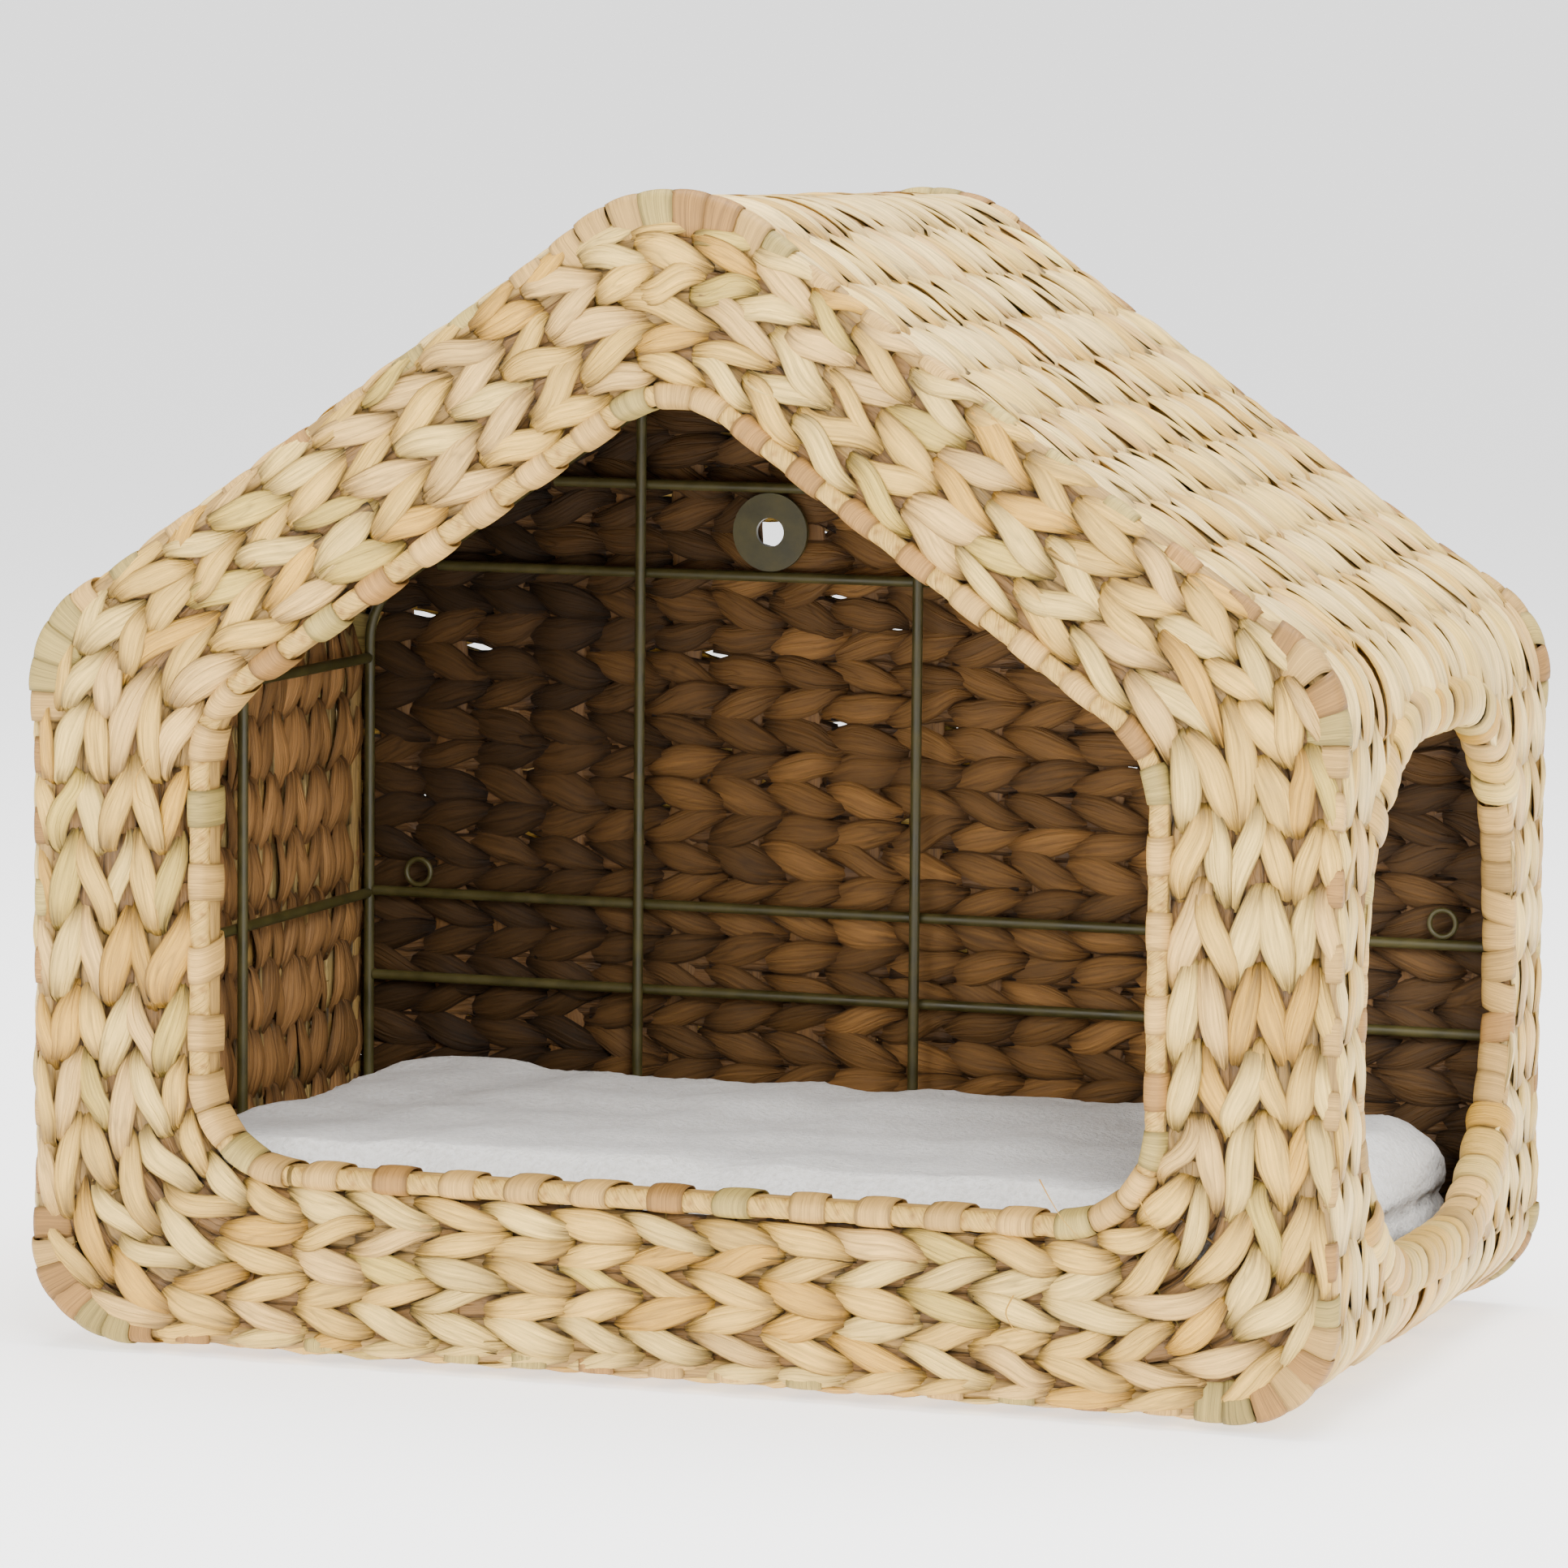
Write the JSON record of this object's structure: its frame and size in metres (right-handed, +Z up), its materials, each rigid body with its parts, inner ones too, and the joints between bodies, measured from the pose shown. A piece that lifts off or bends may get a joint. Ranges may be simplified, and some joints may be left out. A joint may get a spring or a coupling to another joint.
{
  "type": "woven pet house",
  "caption": "House-shaped woven pet bed with a gabled open front, a rounded side doorway, a wire frame inside and a loose fleece cushion.",
  "frame": {"origin": "middle of the footprint, on the plane that the house stands on", "axes": "+X to the viewer's right seen from the front, +Y from the front to the back, +Z up"},
  "size_m": [0.48, 0.292, 0.4081],
  "materials": {
    "frame_wire": "olive green lacquered wire, satin",
    "weave": "twined dried water-hyacinth leaves, straw coloured, soft natural sheen",
    "stakes": "flat dried leaf strips, tan to greenish",
    "binding": "darker leaf straps wound round the edges",
    "rope": "cream twisted leaf rope",
    "fleece": "white short-pile fleece",
    "filling": "white fibre filling"
  },
  "bodies": {
    "house": {"front_hoop": "frame_wire", "back_hoop": "frame_wire", "opening_hoop": "frame_wire", "sill_ties": "frame_wire", "post_ties": "frame_wire", "gable_ties": "frame_wire", "ridge_rod": "frame_wire", "left_eave_rod": "frame_wire", "right_eave_rod": "frame_wire", "left_floor_rod": "frame_wire", "right_floor_rod": "frame_wire", "left_corner_rod": "frame_wire", "right_corner_rod": "frame_wire", "left_wall_rail": "frame_wire", "left_wall_upright": "frame_wire", "doorway_hoop": "frame_wire", "doorway_ties": "frame_wire", "back_upright_left": "frame_wire", "back_upright_middle": "frame_wire", "back_upright_right": "frame_wire", "back_rail_1": "frame_wire", "back_rail_2": "frame_wire", "back_rail_3": "frame_wire", "back_rail_4": "frame_wire", "mounting_disc_left": "frame_wire", "mounting_disc_right": "frame_wire", "eye_ring_left": "frame_wire", "eye_ring_right": "frame_wire", "front_weave": "weave", "left_wall_weave": "weave", "right_wall_weave": "weave", "left_roof_weave": "weave", "right_roof_weave": "weave", "floor_weave": "weave", "back_weave": "weave", "front_stakes": "stakes", "left_wall_stakes": "stakes", "right_wall_stakes": "stakes", "left_roof_stakes": "stakes", "right_roof_stakes": "stakes", "floor_stakes": "stakes", "back_stakes": "stakes", "front_edge_binding": "binding", "back_edge_binding": "binding", "doorway_binding": "binding", "rim_straps": "binding", "rim_rope": "rope"},
    "cushion": {"cushion_cover_top": "fleece", "cushion_cover_bottom": "fleece", "cushion_filling": "filling"}
  },
  "joints": [
    {"name": "cushion_lift", "type": "slide", "parent": "house", "child": "cushion", "axis": [0, 0, 1], "range_m": [0, 0.12]}
  ]
}
